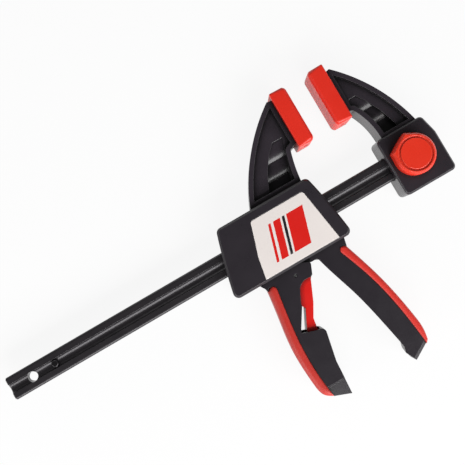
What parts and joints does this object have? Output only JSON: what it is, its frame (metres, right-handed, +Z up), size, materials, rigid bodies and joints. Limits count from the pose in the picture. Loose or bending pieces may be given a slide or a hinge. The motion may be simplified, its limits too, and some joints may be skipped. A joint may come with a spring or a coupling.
{
  "type": "quick release bar clamp",
  "caption": "One-handed bar clamp: a sliding head with trigger, release lever and jaw on a grooved bar, facing a fixed jaw with a turning knob and a soft pad.",
  "frame": {"origin": "on the floor that the clamp lies on, under the middle of its outline", "axes": "+X along the bar towards the fixed jaw, +Y from the bar towards the pads (the handles point to -Y), +Z up out of the front with the pale plate"},
  "size_m": [0.348, 0.2114, 0.0355],
  "materials": {
    "black_steel": "satin black coating",
    "bright_steel": "bright turned",
    "black_plastic": "fine satin texture",
    "red_plastic": "semi-gloss",
    "red_rubber": "soft matte",
    "pale_plastic": "semi-gloss",
    "guide_plastic": "natural, smooth",
    "plate_steel": "hardened, ground edges",
    "spring_steel": "bright drawn",
    "zinc_screws": "zinc plated"
  },
  "bodies": {
    "fixed_end": {"rail": "black_steel", "stop_pin": "bright_steel", "fixed_jaw": "black_plastic", "fixed_jaw_cover": "black_plastic", "fixed_jaw_screws": "zinc_screws", "fixed_pad": "red_rubber"},
    "knob": {"knob": "red_plastic", "knob_ring": "spring_steel", "lock_pin": "bright_steel"},
    "sliding_head": {"housing_back": "black_plastic", "housing_front": "black_plastic", "housing_screws": "zinc_screws", "label_plate": "pale_plastic", "sliding_jaw": "black_plastic", "sliding_pad": "red_rubber", "rear_guide": "guide_plastic", "front_guide": "guide_plastic", "drive_spring": "spring_steel", "brake_spring": "spring_steel", "handle": "black_plastic", "handle_grip": "red_rubber", "trigger_pin": "bright_steel"},
    "drive_plate": {"drive_plate": "plate_steel"},
    "brake_plate": {"brake_plate": "plate_steel"},
    "trigger": {"trigger": "black_plastic", "trigger_grip": "red_rubber", "lever_spring": "spring_steel"},
    "release_lever": {"release_lever": "red_plastic"}
  },
  "joints": [
    {"name": "head_slide", "type": "slide", "parent": "fixed_end", "child": "sliding_head", "axis": [1, 0, 0], "range_m": [-0.1344, 0.0175]},
    {"name": "knob_turn", "type": "hinge", "parent": "fixed_end", "child": "knob", "pos_m": [0.1516, 0.0183, 0.03], "axis": [0, 0, 1], "range_deg": [0, 90]},
    {"name": "trigger_squeeze", "type": "hinge", "parent": "sliding_head", "child": "trigger", "pos_m": [0.0383, -0.013, 0.014], "axis": [0, 0, 1], "range_deg": [0, 24], "stiffness_Nm_per_rad": 0.6, "springref_deg": -17.19},
    {"name": "drive_stroke", "type": "slide", "parent": "sliding_head", "child": "drive_plate", "axis": [1, 0, 0], "range_m": [-0.0069, 0], "deforming": ["drive_spring"]},
    {"name": "lever_squeeze", "type": "hinge", "parent": "trigger", "child": "release_lever", "pos_m": [0.0288, -0.0592, 0.014], "axis": [0, 0, 1], "range_deg": [0, 4.8], "stiffness_Nm_per_rad": 0.8, "springref_deg": -6.88, "deforming": ["lever_spring"]},
    {"name": "brake_tilt", "type": "hinge", "parent": "sliding_head", "child": "brake_plate", "pos_m": [0.044, 0.0313, 0.014], "axis": [0, 0, 1], "range_deg": [-4, 0], "deforming": ["brake_spring"]}
  ],
  "couplings": [
    {"joint": "drive_stroke", "follows": "trigger_squeeze", "m_per_rad": -0.01647},
    {"joint": "brake_tilt", "follows": "lever_squeeze", "ratio": -0.8333}
  ]
}
